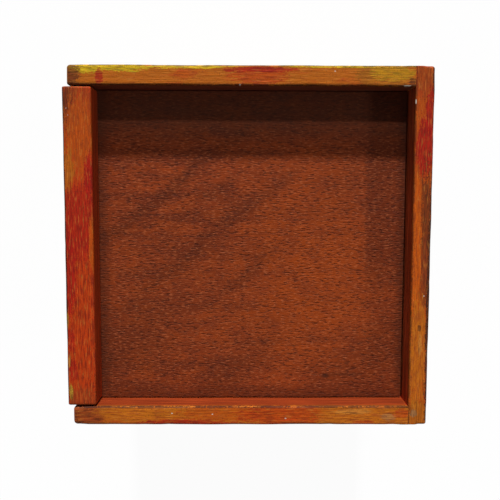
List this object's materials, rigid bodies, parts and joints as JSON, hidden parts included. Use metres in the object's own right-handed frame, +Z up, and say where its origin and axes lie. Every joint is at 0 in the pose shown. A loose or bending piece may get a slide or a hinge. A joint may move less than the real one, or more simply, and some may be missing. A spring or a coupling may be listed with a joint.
{
  "type": "jack in the box",
  "caption": "Worn painted wooden jack in the box: a recessed plywood lid on a pivoting rail opens and a cloth jack rises on a coil spring; a sliding brass catch holds the lid.",
  "frame": {"origin": "middle of the box's underside, on the surface that it stands on", "axes": "+Z up, front of the box (its catch) towards -Y, hinge rail towards +Y, +X to the right of someone who faces the front"},
  "size_m": [0.1416, 0.1499, 0.15],
  "materials": {
    "red_paint": "worn red paint over orange-brown wood",
    "yellow_paint": "worn yellow paint over orange-brown wood",
    "rail_paint": "worn orange and red paint over brown wood",
    "lauan_plywood": "red-brown open-pored plywood, dull",
    "bare_pine": "bare planed softwood",
    "nail_steel": "dull aged steel",
    "spring_wire": "drawn steel wire",
    "brass": "aged brass",
    "knob_wood": "turned stained wood",
    "head_paint": "painted turned wood",
    "nose_paint": "painted turned wood, satin",
    "gown_cloth": "plain woven cotton",
    "ruff_cloth": "gathered unbleached cotton",
    "cap_felt": "thick wool felt",
    "band_felt": "rolled wool felt",
    "wool": "wound wool",
    "mitten_felt": "wool felt"
  },
  "bodies": {
    "box": {"front_wall": "red_paint", "back_wall": "yellow_paint", "left_wall": "red_paint", "right_wall": "yellow_paint", "bottom_panel": "lauan_plywood", "wall_nails": "nail_steel", "bottom_nails": "nail_steel", "hinge_pin_left": "nail_steel", "hinge_pin_right": "nail_steel", "left_ledge": "bare_pine", "right_ledge": "bare_pine", "front_ledge_left": "bare_pine", "front_ledge_right": "bare_pine", "corner_block_front_left": "bare_pine", "corner_block_front_right": "bare_pine", "corner_block_back_left": "bare_pine", "corner_block_back_right": "bare_pine", "spring_block": "bare_pine", "spring_block_screws": "nail_steel", "jack_spring": "spring_wire", "catch_guides": "brass", "catch_guide_pins": "brass", "catch_face_plate": "brass", "catch_face_pins": "brass"},
    "lid": {"lid_panel": "lauan_plywood", "hinge_rail": "rail_paint", "lid_keeper": "brass", "lid_keeper_screws": "nail_steel"},
    "jack": {"spring_plate": "bare_pine", "neck_dowel": "bare_pine", "gown": "gown_cloth", "ruff": "ruff_cloth", "head": "head_paint", "nose": "nose_paint", "cap": "cap_felt", "cap_band": "band_felt", "cap_bobble": "wool", "left_sleeve": "gown_cloth", "right_sleeve": "gown_cloth", "left_hand": "mitten_felt", "right_hand": "mitten_felt", "gown_buttons": "wool"},
    "catch": {"catch_bar": "brass", "catch_shank": "brass", "catch_knob": "knob_wood"}
  },
  "joints": [
    {"name": "lid_hinge", "type": "hinge", "parent": "box", "child": "lid", "pos_m": [0, 0.0664, 0.1367], "axis": [-1, 0, 0], "range_deg": [0, 105]},
    {"name": "jack_rise", "type": "slide", "parent": "box", "child": "jack", "axis": [0, 0, 1], "range_m": [0, 0.13], "deforming": ["jack_spring"]},
    {"name": "catch_slide", "type": "slide", "parent": "box", "child": "catch", "axis": [1, 0, 0], "range_m": [0, 0.01]}
  ],
  "couplings": [
    {"joint": "jack_rise", "follows": "lid_hinge", "m_per_rad": 0.0709}
  ]
}
